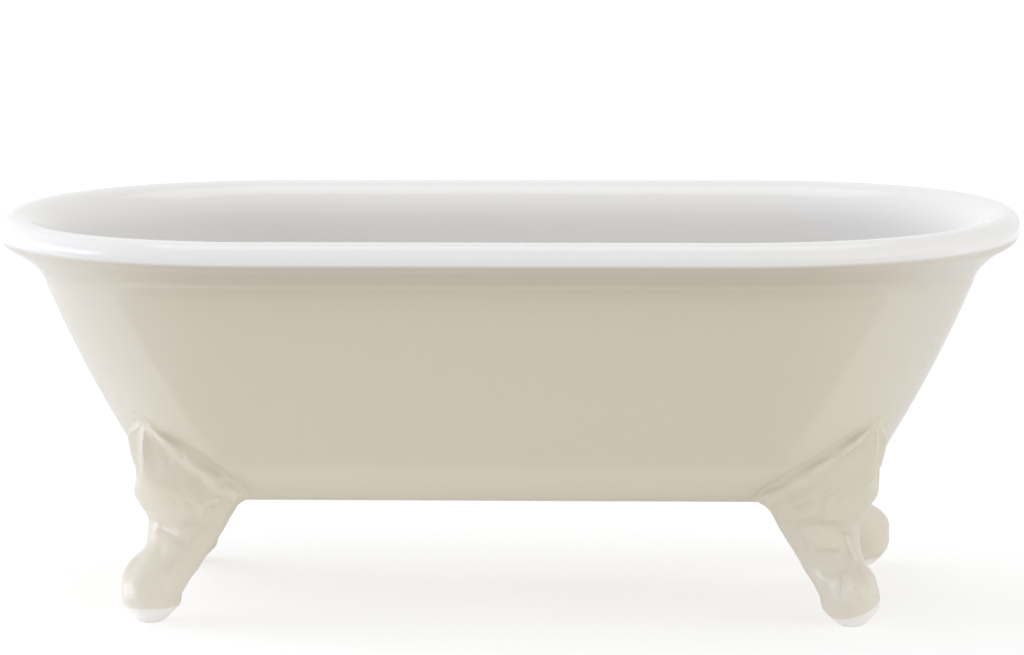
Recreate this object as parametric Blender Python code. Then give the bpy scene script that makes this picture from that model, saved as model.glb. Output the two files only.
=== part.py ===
"""Glazed ceramic soap dish shaped as a double-ended bath on four claw-and-ball feet.

Metres, Z up, the table is z = 0. X runs along the bath and -Y is its front."""

import math

import bmesh
import bpy
import numpy as np

for old in list(bpy.data.objects):
    bpy.data.objects.remove(old, do_unlink=True)

# Bowl, outside
LENGTH = 0.1700             # over the rim, end to end
WIDTH = 0.0772              # over the rim, front to back
HEIGHT = 0.0645             # crest of the rim above the table
UNDERSIDE = 0.0193          # flat underside of the bowl above the table
RIM_RADIUS = 0.0027         # roll of the rim
RIM_UNDERCUT = 60.0         # degrees that the roll turns under
RIM_DROP = 0.0100           # from the crest down to the neck, where the flank begins, at the ends
SIDE_RIM_DROP = 0.0082      # and on the long sides
END_OVERHANG = 0.0072       # of the rim over the neck, at the ends
SIDE_OVERHANG = 0.0059      # and on the long sides
END_LEAN = 0.0181           # of the flank from the neck in to the underside, at the ends
SIDE_LEAN = 0.0053          # and on the long sides
BASE_ROUND = 0.0082         # rounding between flank and underside
FLANK_BULGE = 0.0006        # belly of the flank
RIM_STRAIGHT = 0.0760       # straight run of the long sides at the rim
BASE_STRAIGHT = 0.0860      # and at the underside
END_POWER = 2.16            # 2 is a true ellipse, more is squarer

# Bowl, inside
WALL = 0.0038
FLOOR = 0.0042
FLARE_DROP = 0.0130         # depth of the flare from the crest into the wall
FLARE_SHELF = 0.0045        # how far it runs in before it falls
INNER_ROUND = 0.0080        # rounding between wall and floor

# Feet
FOOT_STEP = 0.0054          # from the bowl's corner, at its underside, out to the middle of the ball
FOOT_SHIFT = -0.0015        # and sideways, towards the long side
FOOT_ANGLE = 48.0           # degrees from X to the way that the leg steps out
BALL_RADIUS = 0.00476
SOLE_RADIUS = 0.0017        # flat that the ball rests on
SHIELD_ANGLE = 42.0         # degrees from X to the way that the shield faces
SHIELD_HEIGHT = 0.0131      # tip of the shield above the bowl's underside
SHIELD_LIFT = 0.0012        # and its lower corners
SHIELD_SIDE_REACH = 0.0108  # from the tip's line to the lower corner on the long side, along the bowl
SHIELD_END_REACH = 0.0138   # and to the one on the end
SHIELD_CREST = 0.0046       # stand-off of the knee from the bowl
SHIELD_ROOT = 0.0060        # how far the foot runs into the bowl's line before it is cut to fit
BEAD_HEIGHT = 0.0015        # raised edge of the shield
BEAD_WIDTH = 0.0018
KNEE_DROP = 0.0013          # below the underside by this much the leg is free of the bowl's shape
KNEE_RISE = 0.0047          # above it by this much the foot follows the bowl

# Joints of luting clay between feet and bowl
FIT_GAP = 0.0003
SLIP_THICKNESS = 0.0005
SLIP_INSET = 0.0012         # from the shield's edge to the edge of the clay

# Facets
END_STEPS = 12              # in a quarter of an outline, round the end
SIDE_STEPS = 3              # and along the straight
FRONT_STEPS = 22            # round the front of a foot
BACK_STEPS = 5              # and across its back
SHIELD_STEPS = 10           # levels of the shield

NECK_END = LENGTH / 2 - END_OVERHANG
NECK_SIDE = WIDTH / 2 - SIDE_OVERHANG
NECK_HEIGHT = HEIGHT - RIM_DROP
BASE_END = NECK_END - END_LEAN
BASE_SIDE = NECK_SIDE - SIDE_LEAN
FLOOR_HEIGHT = UNDERSIDE + FLOOR
SHIELD_TOP = UNDERSIDE + SHIELD_HEIGHT
SHIELD_FOOT = UNDERSIDE + SHIELD_LIFT
SOLE_LIFT = math.sqrt(BALL_RADIUS**2 - SOLE_RADIUS**2)
WHITE = (0.80, 0.78, 0.72)
CLAY = (0.62, 0.58, 0.50)


def bezier(p0, p1, p2, count):
    """Points after p0 up to p2 of a curve that leaves p0 and reaches p2 along the lines to p1."""
    t = np.linspace(0, 1, count + 1)[1:, None]
    p0, p1, p2 = (np.array(p, float) for p in (p0, p1, p2))
    return ((1 - t) ** 2 * p0 + 2 * t * (1 - t) * p1 + t**2 * p2).tolist()


def cubic(p0, p1, p2, p3, count):
    t = np.linspace(0, 1, count + 1)[1:, None]
    p0, p1, p2, p3 = (np.array(p, float) for p in (p0, p1, p2, p3))
    u = 1 - t
    return (u**3 * p0 + 3 * u * u * t * p1 + 3 * u * t * t * p2 + t**3 * p3).tolist()


def meet(p, along, q, toward):
    """Where the line through p along `along` crosses the line through q along `toward`."""
    a = np.array([along, [-toward[0], -toward[1]]], float).T
    t = np.linalg.solve(a, np.array(q, float) - np.array(p, float))[0]
    return [p[0] + along[0] * t, p[1] + along[1] * t]


def flank_line(neck, base):
    """Lower point and unit direction of a flank, in one section."""
    run = np.array([neck - base, NECK_HEIGHT - UNDERSIDE])
    return np.array([base, UNDERSIDE]), run / np.linalg.norm(run)


def outer_section(reach, neck, base, drop):
    """Outside of the bowl in one section, from the underside's edge to the crest of the rim."""
    foot, way = flank_line(neck, base)
    low = foot + way * (BASE_ROUND / way[1])
    top = foot + way * ((HEIGHT - drop - UNDERSIDE) / way[1])
    out = [[base - BASE_ROUND, UNDERSIDE]]
    out += bezier(out[0], foot, low, 5)
    side = np.array([way[1], -way[0]])
    for f in np.linspace(0, 1, 5)[1:]:
        out.append((low + (top - low) * f + side * 4 * FLANK_BULGE * f * (1 - f)).tolist())
    turn = math.radians(-RIM_UNDERCUT)
    centre = np.array([reach - RIM_RADIUS, HEIGHT - RIM_RADIUS])
    under = centre + RIM_RADIUS * np.array([math.cos(turn), math.sin(turn)])
    tangent = np.array([-math.sin(turn), math.cos(turn)])
    out += bezier(top, meet(top, way, under, tangent), under, 4)
    for angle in np.linspace(turn, math.pi / 2, 11)[1:]:
        out.append((centre + RIM_RADIUS * np.array([math.cos(angle), math.sin(angle)])).tolist())
    return out


def inner_section(reach, neck, base):
    """Inside of the bowl in one section, from the crest of the rim to the floor's edge."""
    foot, way = flank_line(neck, base)
    side = np.array([way[1], -way[0]])
    foot = foot - side * WALL

    def wall_at(z):
        return [foot[0] + way[0] * (z - foot[1]) / way[1], z]

    crest = [reach - RIM_RADIUS, HEIGHT]
    start = wall_at(HEIGHT - FLARE_DROP)
    end = wall_at(FLOOR_HEIGHT + INNER_ROUND)
    corner = wall_at(FLOOR_HEIGHT)
    shelf = [crest[0] - FLARE_SHELF, HEIGHT]
    out = cubic(crest, shelf, wall_at(HEIGHT - FLARE_DROP / 2), start, 8)
    out += [[(start[0] + end[0]) / 2, (start[1] + end[1]) / 2], end]
    return out + bezier(end, corner, [corner[0] - INNER_ROUND, FLOOR_HEIGHT], 5)


def straight_at(z):
    """Half the straight run of a long side at height z."""
    return (BASE_STRAIGHT + (RIM_STRAIGHT - BASE_STRAIGHT) * (z - UNDERSIDE) / (HEIGHT - UNDERSIDE)) / 2


def quarter(half_length, half_width, straight, round_steps, side_steps):
    """A quarter of an outline from the +X end to the middle of the +Y side, and each point's share of the end."""
    t = np.linspace(0, math.pi / 2, round_steps + 1)
    cos, sin = np.clip(np.cos(t), 0, 1), np.sin(t)
    x = straight + (half_length - straight) * cos ** (2 / END_POWER)
    y = half_width * sin ** (2 / END_POWER)
    along = np.linspace(straight, 0, side_steps + 1)[1:]
    x = np.append(x, along)
    y = np.append(y, np.full(side_steps, half_width))
    share = np.append(cos**2, np.zeros(side_steps))
    return x, y, share


def outline(end, side):
    """Closed outline through one station of the end section and the same station of the side section."""
    straight = straight_at((end[1] + side[1]) / 2)
    x, y, share = quarter(end[0], side[0], straight, END_STEPS, SIDE_STEPS)
    z = side[1] + (end[1] - side[1]) * share
    x = np.concatenate([x, -x[-2::-1], -x[1:], x[-2:0:-1]])
    y = np.concatenate([y, y[-2::-1], -y[1:], -y[-2:0:-1]])
    z = np.concatenate([z, z[-2::-1], z[1:], z[-2:0:-1]])
    return np.stack([x, y, z], axis=1)


def loft(name, rings, colour, roughness=0.1):
    """A closed solid through rings of the same number of points, with flat ends."""
    shape = bmesh.new()
    rows = [[shape.verts.new(p) for p in ring] for ring in rings]
    for low, high in zip(rows, rows[1:]):
        for i in range(len(low)):
            j = (i + 1) % len(low)
            shape.faces.new((low[i], low[j], high[j]))
            shape.faces.new((low[i], high[j], high[i]))
    shape.faces.new(rows[0][::-1])
    shape.faces.new(rows[-1])
    bmesh.ops.recalc_face_normals(shape, faces=shape.faces)
    if shape.calc_volume(signed=True) < 0:
        bmesh.ops.reverse_faces(shape, faces=shape.faces)
    mesh = bpy.data.meshes.new(name)
    shape.to_mesh(mesh)
    shape.free()
    obj = bpy.data.objects.new(name, mesh)
    bpy.context.scene.collection.objects.link(obj)
    mesh.materials.append(glaze(name, colour, roughness))
    for face in mesh.polygons:
        face.use_smooth = True
    mesh.set_sharp_from_angle(angle=math.radians(40))
    return obj


def glaze(name, colour, roughness):
    material = bpy.data.materials.new(name)
    material.use_nodes = True
    shader = material.node_tree.nodes["Principled BSDF"]
    shader.inputs["Base Color"].default_value = (*colour, 1)
    shader.inputs["Roughness"].default_value = roughness
    shader.inputs["Metallic"].default_value = 0
    return material


def helper(obj):
    obj.hide_render = True
    obj.display_type = "WIRE"
    return obj


def boolean(obj, name, operation, other):
    cut = obj.modifiers.new(name, "BOOLEAN")
    cut.operation = operation
    cut.solver = "EXACT"
    cut.object = other


ends = outer_section(LENGTH / 2, NECK_END, BASE_END, RIM_DROP)
sides = outer_section(WIDTH / 2, NECK_SIDE, BASE_SIDE, SIDE_RIM_DROP)
inner_ends = inner_section(LENGTH / 2, NECK_END, BASE_END)
inner_sides = inner_section(WIDTH / 2, NECK_SIDE, BASE_SIDE)
loft("tub_body", [outline(e, s) for e, s in zip(ends + inner_ends, sides + inner_sides)], WHITE)


def envelope(name, clearance):
    """The bowl's outside up to its neck as a filled solid, grown by the clearance, that cuts what fits against it."""
    rings = []
    for end, side in zip(ends, outer_section(WIDTH / 2, NECK_SIDE, BASE_SIDE, RIM_DROP)):
        if end[1] > NECK_HEIGHT + clearance:
            break
        drop = clearance if end[1] <= UNDERSIDE + BASE_ROUND / 2 else 0
        rings.append(outline((end[0] + clearance, end[1] - drop), (side[0] + clearance, side[1] - drop)))
    return helper(loft(name, rings, CLAY))


def corner_run(z):
    """The bowl's corner at height z with its flank carried down straight: points, outward normals and distances
    along it from the point that faces the way the shield does."""
    rise = (z - UNDERSIDE) / (NECK_HEIGHT - UNDERSIDE)
    half_length = BASE_END + (NECK_END - BASE_END) * rise
    half_width = BASE_SIDE + (NECK_SIDE - BASE_SIDE) * rise
    x, y, _ = quarter(half_length, half_width, straight_at(z), 160, 20)
    x, y = np.append(x[::-1], x[1:]), np.append(y[::-1], -y[1:])
    ways = np.stack([np.gradient(x), np.gradient(y)], axis=1)
    ways /= np.linalg.norm(ways, axis=1)[:, None]
    normals = np.stack([-ways[:, 1], ways[:, 0]], axis=1)
    run = np.append(0, np.cumsum(np.hypot(np.diff(x), np.diff(y))))
    facing = np.degrees(np.arctan2(normals[:, 1], normals[:, 0]))
    middle = np.interp(SHIELD_ANGLE, facing[::-1], run[::-1])
    return np.stack([x, y], axis=1), normals, run - middle


def smooth(low, high, value):
    t = min(max((value - low) / (high - low), 0), 1)
    return t * t * (3 - 2 * t)


def pick(places, run, values):
    """The values, which are listed against `run`, at these places along it."""
    return np.stack([np.interp(places, run, values[:, k]) for k in (0, 1)], axis=1)


LEG_OUT = np.array([math.cos(math.radians(FOOT_ANGLE)), math.sin(math.radians(FOOT_ANGLE))])
LEG_ACROSS = np.array([LEG_OUT[1], -LEG_OUT[0]])
corner_points, _, corner_places = corner_run(UNDERSIDE)
BALL_MIDDLE = pick([0], corner_places, corner_points)[0] + LEG_OUT * FOOT_STEP - LEG_ACROSS * FOOT_SHIFT

# Leg above the ball: share of the way from the ball's middle up to the bowl's underside, how far the leg's
# middle lies behind the ball's, half depth, and half breadth towards the long side and towards the end
LEG = (
    (0.00, 0.0004, BALL_RADIUS + 0.0003, BALL_RADIUS, BALL_RADIUS),
    (0.16, 0.0019, 0.0058, 0.0049, 0.0049),
    (0.24, 0.0030, 0.0060, 0.0051, 0.0051),
    (0.33, 0.0045, 0.0059, 0.0050, 0.0050),
    (0.47, 0.0062, 0.0055, 0.0055, 0.0055),
    (0.61, 0.0074, 0.0053, 0.0065, 0.0065),
    (0.78, 0.0084, 0.0053, 0.0077, 0.0081),
    (0.88, 0.0085, 0.0058, 0.0084, 0.0094),
    (1.00, 0.0088, 0.0066, 0.0094, 0.0120),
    (1.18, 0.0094, 0.0073, 0.0110, 0.0142),
    (1.32, 0.0100, 0.0074, 0.0122, 0.0150),
)
LEG_SHARES = (0.08, 0.16, 0.24, 0.33, 0.44, 0.56, 0.68, 0.79, 0.88, 0.95)
BALL_TURNS = (40, 57, 74)   # degrees up from the bottom of the ball
FRONT_TURN = 105.0          # degrees from the front of the leg to where its back begins
# Across the shield's edge in widths of the bead: distance in from the edge and share of the bead's height
BEAD = ((0, -0.3), (0.1, 0.6), (0.28, 0.92), (0.5, 1.0), (0.8, 0.9), (1.15, 0.74), (1.6, 0.7))


def leg_at(z, inset):
    """How far the leg's middle lies behind the ball's, half depth and both half breadths, at height z."""
    share = (z - SOLE_LIFT) / (UNDERSIDE - SOLE_LIFT)
    shares, *columns = zip(*LEG)
    behind, *halves = (np.interp(share, shares, column) for column in columns)
    if z < SOLE_LIFT:
        ball = math.sqrt(max(BALL_RADIUS**2 - (z - SOLE_LIFT) ** 2, 0)) / BALL_RADIUS
        behind, halves = behind * ball**2, [half * ball for half in halves]
    return behind, *(half - inset for half in halves)


def shield_half(reach, crest):
    """One half of the shield at one level, from its edge to its middle: places along the bowl and stand-offs."""
    narrow = min(1, reach / (1.5 * BEAD[-1][0] * BEAD_WIDTH))
    half = [(reach - d * BEAD_WIDTH * narrow, BEAD_HEIGHT * h) for d, h in BEAD]
    place, lift = half[-1]
    for f in np.linspace(1, 0, FRONT_STEPS // 2 - len(BEAD) + 2)[1:]:
        half.append((place * f, lift + (crest - lift) * (1 - f * f) ** 1.3))
    return np.array(half)


def foot_ring(z, inset):
    """One level of the foot at the bowl's +X, +Y corner: round its front, then back inside the bowl."""
    rise = min(max((SHIELD_TOP - z) / (SHIELD_TOP - SHIELD_FOOT), 0), 1.0)
    crest = BEAD_HEIGHT + (SHIELD_CREST - BEAD_HEIGHT) * smooth(0, 1, rise)
    edge = 0.4 * BEAD_WIDTH - inset
    side = shield_half(SHIELD_SIDE_REACH * rise + edge, crest)
    end = shield_half(SHIELD_END_REACH * rise + edge, crest)
    places = np.append(-side[:, 0], end[-2::-1, 0])
    lifts = np.append(side[:, 1], end[-2::-1, 1]) - inset
    back = np.linspace(0, 1, BACK_STEPS)
    shares = np.append(-side[:, 0] / side[0, 0], end[-2::-1, 0] / end[0, 0])
    places = np.append(places, places[-1] + (places[0] - places[-1]) * back)
    lifts = np.append(lifts, np.full(BACK_STEPS, inset - SHIELD_ROOT))
    points, normals, run = corner_run(z)
    shield = pick(places, run, points) + pick(places, run, normals) * lifts[:, None]

    behind, depth, side_breadth, end_breadth = leg_at(z, inset)
    even = 1 - smooth(SOLE_LIFT, UNDERSIDE, z)
    turn = FRONT_TURN * (shares + (np.linspace(-1, 1, len(shares)) - shares) * even)
    turn = np.radians(np.append(turn, np.linspace(FRONT_TURN, 360 - FRONT_TURN, BACK_STEPS + 2)[1:-1]))
    breadth = np.where(np.sin(turn) < 0, side_breadth, end_breadth)
    leg = BALL_MIDDLE - LEG_OUT * behind
    leg = leg + np.outer(np.cos(turn) * depth, LEG_OUT) + np.outer(np.sin(turn) * breadth, LEG_ACROSS)
    part = smooth(UNDERSIDE - KNEE_DROP, UNDERSIDE + KNEE_RISE, z)
    flat = leg * (1 - part) + shield * part
    return np.column_stack([flat, np.full(len(flat), z)])


def foot_levels(inset):
    ball = [SOLE_LIFT - BALL_RADIUS * math.cos(math.radians(turn)) for turn in BALL_TURNS]
    leg = [SOLE_LIFT + (UNDERSIDE - SOLE_LIFT) * share for share in LEG_SHARES]
    tip = SHIELD_TOP - 0.3 * BEAD_WIDTH
    shield = [z for z in np.linspace(SHIELD_FOOT, tip, SHIELD_STEPS) if z < tip - 1.5 * inset] + [tip - inset]
    return [0.0, *ball, SOLE_LIFT, *leg, UNDERSIDE, *shield]


def foot_form(name, sign_x, sign_y, inset=0.0, above=-1.0):
    """The foot before it is fitted to the bowl, or the part above a height of one that is smaller by the inset."""
    levels = [z for z in foot_levels(inset) if z > above]
    return loft(name, [foot_ring(z, inset) * (sign_x, sign_y, 1) for z in levels], WHITE)


slip_start = UNDERSIDE - 3 * (2 * FIT_GAP + SLIP_THICKNESS)    # clear of the pocket's lowest face
near = envelope("cutter_bowl", FIT_GAP)
deep = envelope("cutter_slip_face", FIT_GAP + SLIP_THICKNESS)
pocket = envelope("cutter_pocket_face", 2 * FIT_GAP + SLIP_THICKNESS)
for place, sign_x, sign_y in (
    ("front_left", -1, -1),
    ("front_right", 1, -1),
    ("rear_left", -1, 1),
    ("rear_right", 1, 1),
):
    foot = foot_form(f"foot_{place}", sign_x, sign_y)
    boolean(foot, "against_bowl", "DIFFERENCE", near)
    recess = helper(foot_form(f"cutter_recess_{place}", sign_x, sign_y, SLIP_INSET - FIT_GAP, slip_start))
    boolean(recess, "within_pocket", "INTERSECT", pocket)
    boolean(foot, "recess", "DIFFERENCE", recess)
    slip = foot_form(f"slip_joint_{place}", sign_x, sign_y, SLIP_INSET, slip_start)
    slip.data.materials[0] = glaze(f"slip_joint_{place}", CLAY, 0.6)
    boolean(slip, "within_face", "INTERSECT", deep)
    boolean(slip, "against_bowl", "DIFFERENCE", near)
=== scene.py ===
"""Looks of a glazed ceramic soap dish, shaped as a double-ended bath on four claw-and-ball feet.

Metres, in the frame of the solids: Z up, X along the bath, -Y its front, the table at z = 0.
The bowl and the feet are made again with their full relief and glaze; the joints of clay stay as they are."""

import math

import bmesh
import bpy
import numpy as np
from mathutils import Matrix, Vector, noise


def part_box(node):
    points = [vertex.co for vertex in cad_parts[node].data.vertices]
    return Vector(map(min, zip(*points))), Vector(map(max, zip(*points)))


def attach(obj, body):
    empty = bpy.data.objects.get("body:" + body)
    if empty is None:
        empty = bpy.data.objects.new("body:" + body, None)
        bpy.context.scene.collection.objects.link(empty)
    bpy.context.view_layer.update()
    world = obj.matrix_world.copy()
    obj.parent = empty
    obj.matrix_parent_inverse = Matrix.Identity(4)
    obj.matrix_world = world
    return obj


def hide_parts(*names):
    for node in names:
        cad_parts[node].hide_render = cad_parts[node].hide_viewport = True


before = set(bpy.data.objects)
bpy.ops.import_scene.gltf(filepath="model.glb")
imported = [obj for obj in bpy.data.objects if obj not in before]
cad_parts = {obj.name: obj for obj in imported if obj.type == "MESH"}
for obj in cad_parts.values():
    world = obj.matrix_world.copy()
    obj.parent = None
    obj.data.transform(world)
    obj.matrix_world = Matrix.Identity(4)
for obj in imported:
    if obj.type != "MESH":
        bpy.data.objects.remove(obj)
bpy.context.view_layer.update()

bowl_low, bowl_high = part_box("tub_body")

# Bowl, outside
LENGTH = bowl_high.x - bowl_low.x
WIDTH = bowl_high.y - bowl_low.y
HEIGHT = bowl_high.z
UNDERSIDE = bowl_low.z
RIM_RADIUS = 0.0027
RIM_UNDERCUT = 60.0         # degrees that the roll turns under
RIM_DROP = 0.0100           # from the crest down to the neck, where the flank begins, at the ends
SIDE_RIM_DROP = 0.0082      # and on the long sides
END_OVERHANG = 0.0072       # of the rim over the neck, at the ends
SIDE_OVERHANG = 0.0059      # and on the long sides
END_LEAN = 0.0181           # of the flank from the neck in to the underside, at the ends
SIDE_LEAN = 0.0053          # and on the long sides
BASE_ROUND = 0.0082         # rounding between flank and underside
FLANK_BULGE = 0.0006
RIM_STRAIGHT = 0.0760       # straight run of the long sides at the rim
BASE_STRAIGHT = 0.0860      # and at the underside
END_POWER = 2.16            # 2 is a true ellipse, more is squarer

# Bowl, inside
WALL = 0.0038
FLOOR = 0.0042
FLARE_DROP = 0.0130         # depth of the flare from the crest into the wall
FLARE_SHELF = 0.0045        # how far it runs in before it falls
INNER_ROUND = 0.0080        # rounding between wall and floor

# Points of a section: shares of the flat underside and of the floor, and steps over each stretch between
UNDERSIDE_SHARES = (0, 0.5, 0.9, 1.0)
BASE_STEPS = 14
FLANK_STEPS = 16
NECK_STEPS = 14
ROLL_STEPS = 22
FLARE_STEPS = 22
WALL_STEPS = 8
INNER_STEPS = 16
FLOOR_SHARES = (0.97, 0.9, 0.5, 0)

# Feet
FOOT_STEP = 0.0054          # from the bowl's corner, at its underside, out to the middle of the ball
FOOT_SHIFT = -0.0015        # and sideways, towards the long side
FOOT_ANGLE = 48.0           # degrees from X to the way that the leg steps out
BALL_RADIUS = 0.00476
SOLE_RADIUS = 0.0017        # flat that the ball rests on
WORN_HEIGHT = 0.0026        # up to which the ball is wiped down to a cone
WORN_POWER = 0.75           # less than 1, as the cone is a little rounded
SHIELD_ANGLE = 42.0         # degrees from X to the way the corner faces where the shield is measured from
SHIELD_CREST = 0.0046       # stand-off of the knee from the bowl
SHIELD_ROOT = 0.0020        # how far the foot runs into the bowl's wall
ROOT_POWER = 0.4            # less than 1, as it is boxy there
SHIELD_FOOT = 0.0205        # height of the shield's lower corners
BEAD_HEIGHT = 0.0014        # raised edge of the shield
TIP_FADE = (0.0034, 0.0012)     # heights below and above its tip over which it sinks into the bowl
NARROWEST = 0.0003          # half of the shield at its tip
EDGE_SUNK = 0.00002         # its edge lies this far under the bowl's skin
KNEE_DROP = 0.0013          # below the underside by this much the leg is free of the bowl's shape
KNEE_RISE = 0.0047          # above it by this much the foot follows the bowl
LEG_FILLET = 0.0016         # glaze and slip in the corner between leg and bowl

NECK_END = LENGTH / 2 - END_OVERHANG
NECK_SIDE = WIDTH / 2 - SIDE_OVERHANG
NECK_HEIGHT = HEIGHT - RIM_DROP
BASE_END = NECK_END - END_LEAN
BASE_SIDE = NECK_SIDE - SIDE_LEAN
FLOOR_HEIGHT = UNDERSIDE + FLOOR
SOLE_LIFT = math.sqrt(BALL_RADIUS**2 - SOLE_RADIUS**2)

# Glaze: its colours
BONE = (0.675, 0.622, 0.505)        # outside
BONE_ENDS_LAMPLIT = (0.695, 0.655, 0.575)   # paler round the ends: painted light of the side lamps
BONE_BELOW_BOUNCE_LIT = (0.74, 0.69, 0.59)     # paler on the legs and balls: thinner glaze and painted bounce light from the table
POOLED_AND_SHADE = (0.60, 0.535, 0.415)       # in hollows: pooled glaze and painted shade
WHITE = (0.87, 0.86, 0.845)         # over the rim
# The white inside with painted shade, deeper in the basin
BASIN_SHADED_WHITE = (0.75, 0.74, 0.725)
UNDER_RIM_SHADE = (0.565, 0.51, 0.425)     # painted shade under the rim
THIN_AND_HIGHLIGHT = (0.80, 0.765, 0.685)         # over sharp edges: thinner glaze and painted highlight
BARE_CLAY = (0.86, 0.84, 0.81)
LUTING_CLAY = (0.56, 0.52, 0.45), (0.70, 0.66, 0.58)

# And where they turn into each other, each from no share to full share
RIM_WHITE = (1.45 * RIM_RADIUS, 1.18 * RIM_RADIUS)      # white on the outside, by depth below the crest
BASIN_SHADE = (0.0015, 0.0075)      # painted shade on the white inside, by depth below the crest
NECK_SHADE_BAND = (0.0086, 0.0068)        # painted shade under the rim, by depth below the crest on a long side
MIDDLE = (0.076, 0.050)             # full bone and full painted shade under the rim, by distance along X; the ends take painted lamplight
HOLLOW = (-100, -1300)              # pooled glaze and painted shade on the feet, by how much the surface bends
RIDGE = (350, 1700)                 # thin glaze and painted highlight over their edges
LOWER_LEG = (0.021, 0.007)          # paler down the legs, by height: thinner glaze and painted bounce light
RAGGED_EDGE = (-0.2, 0.1)           # bare clay, by millimetres below the line where the glaze ends
RAGGED = 0.5                        # millimetres by which that line wavers
POOLED_AND_SHADE_SHARE = 0.5                  # most that a hollow takes of its colour
THIN_AND_HIGHLIGHT_SHARE = 0.7                    # and a ridge of its own
FOOT_ROUGHNESS = 0.28
BARE_ROUGHNESS = 0.70


def smooth(low, high, value):
    t = np.clip((value - low) / (high - low), 0, 1)
    return t * t * (3 - 2 * t)


def spline(at, places, values):
    """A smooth curve through the values at these places, with no overshoot at its ends."""
    places, values = np.array(places, float), np.array(values, float)
    slopes = np.gradient(values, places)
    k = np.clip(np.searchsorted(places, at) - 1, 0, len(places) - 2)
    span = places[k + 1] - places[k]
    t = np.clip((at - places[k]) / span, 0, 1)
    a, b = (1 + 2 * t) * (1 - t) ** 2, t * (1 - t) ** 2
    c, d = t * t * (3 - 2 * t), t * t * (t - 1)
    return a * values[k] + b * span * slopes[k] + c * values[k + 1] + d * span * slopes[k + 1]


def bezier(points, count):
    """Points after the first one up to the last of a curve with 3 or 4 control points."""
    t = np.linspace(0, 1, count + 1)[1:, None]
    control = [np.array(p, float) for p in points]
    while len(control) > 1:
        control = [a + (b - a) * t for a, b in zip(control, control[1:])]
    return control[0].tolist()


def meet(p, along, q, toward):
    """Where the line through p along `along` crosses the line through q along `toward`."""
    a = np.array([along, [-toward[0], -toward[1]]], float).T
    t = np.linalg.solve(a, np.array(q, float) - np.array(p, float))[0]
    return [p[0] + along[0] * t, p[1] + along[1] * t]


def flank_line(neck, base):
    """Lower point and unit direction of a flank, in one section."""
    run = np.array([neck - base, NECK_HEIGHT - UNDERSIDE])
    return np.array([base, UNDERSIDE]), run / np.linalg.norm(run)


def outer_section(reach, neck, base, drop):
    """Outside of the bowl in one section, from the middle of the underside to the crest of the rim."""
    foot, way = flank_line(neck, base)
    low = foot + way * (BASE_ROUND / way[1])
    top = foot + way * ((HEIGHT - drop - UNDERSIDE) / way[1])
    edge = base - BASE_ROUND
    out = [[edge * f, UNDERSIDE] for f in UNDERSIDE_SHARES]
    out += bezier([out[-1], foot, low], BASE_STEPS)
    side = np.array([way[1], -way[0]])
    for f in np.linspace(0, 1, FLANK_STEPS + 1)[1:]:
        out.append((low + (top - low) * f + side * 4 * FLANK_BULGE * f * (1 - f)).tolist())
    turn = math.radians(-RIM_UNDERCUT)
    centre = np.array([reach - RIM_RADIUS, HEIGHT - RIM_RADIUS])
    under = centre + RIM_RADIUS * np.array([math.cos(turn), math.sin(turn)])
    tangent = np.array([-math.sin(turn), math.cos(turn)])
    out += bezier([top, meet(top, way, under, tangent), under], NECK_STEPS)
    for angle in np.linspace(turn, math.pi / 2, ROLL_STEPS + 1)[1:]:
        out.append((centre + RIM_RADIUS * np.array([math.cos(angle), math.sin(angle)])).tolist())
    return out


def inner_section(reach, neck, base):
    """Inside of the bowl in one section, from the crest of the rim to the middle of the floor."""
    foot, way = flank_line(neck, base)
    foot = foot - np.array([way[1], -way[0]]) * WALL

    def wall_at(z):
        return [foot[0] + way[0] * (z - foot[1]) / way[1], z]

    crest = [reach - RIM_RADIUS, HEIGHT]
    start, end = wall_at(HEIGHT - FLARE_DROP), wall_at(FLOOR_HEIGHT + INNER_ROUND)
    corner = wall_at(FLOOR_HEIGHT)
    shelf = [crest[0] - FLARE_SHELF, HEIGHT]
    out = bezier([crest, shelf, wall_at(HEIGHT - FLARE_DROP / 2), start], FLARE_STEPS)
    for f in np.linspace(0, 1, WALL_STEPS + 1)[1:]:
        out.append([start[0] + (end[0] - start[0]) * f, start[1] + (end[1] - start[1]) * f])
    edge = corner[0] - INNER_ROUND
    out += bezier([end, corner, [edge, FLOOR_HEIGHT]], INNER_STEPS)
    return out + [[edge * f, FLOOR_HEIGHT] for f in FLOOR_SHARES]


def straight_at(z):
    """Half the straight run of a long side at height z."""
    return (BASE_STRAIGHT + (RIM_STRAIGHT - BASE_STRAIGHT) * (z - UNDERSIDE) / (HEIGHT - UNDERSIDE)) / 2


def quarter(half_length, half_width, straight, round_steps, side_steps):
    """A quarter of an outline, from the +X end to the middle of the +Y side."""
    t = np.linspace(0, math.pi / 2, round_steps + 1)
    x = straight + (half_length - straight) * np.clip(np.cos(t), 0, 1) ** (2 / END_POWER)
    y = half_width * np.sin(t) ** (2 / END_POWER)
    x = np.append(x, np.linspace(straight, 0, side_steps + 1)[1:])
    return x, np.append(y, np.full(side_steps, half_width))


def new_object(name, mesh):
    obj = bpy.data.objects.new(name, mesh)
    bpy.context.scene.collection.objects.link(obj)
    return obj


def finish_piece(obj, slot, *nodes):
    """The piece rides on the part's one body and stands for these solids; the slot is not used."""
    obj.data.shade_smooth()
    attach(obj, "root")
    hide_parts(*nodes)
    return obj


def keep_values(mesh, name, values):
    """Stores one number for each point of the mesh, under this name."""
    attribute = mesh.attributes.new(name, "FLOAT", "POINT")
    attribute.data.foreach_set("value", values.ravel().astype(np.float32))


def turn_outwards(mesh):
    """Makes the faces of a closed mesh all point out."""
    shape = bmesh.new()
    shape.from_mesh(mesh)
    bmesh.ops.recalc_face_normals(shape, faces=shape.faces)
    if shape.calc_volume(signed=True) < 0:
        bmesh.ops.reverse_faces(shape, faces=shape.faces)
    shape.to_mesh(mesh)
    shape.free()


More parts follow.
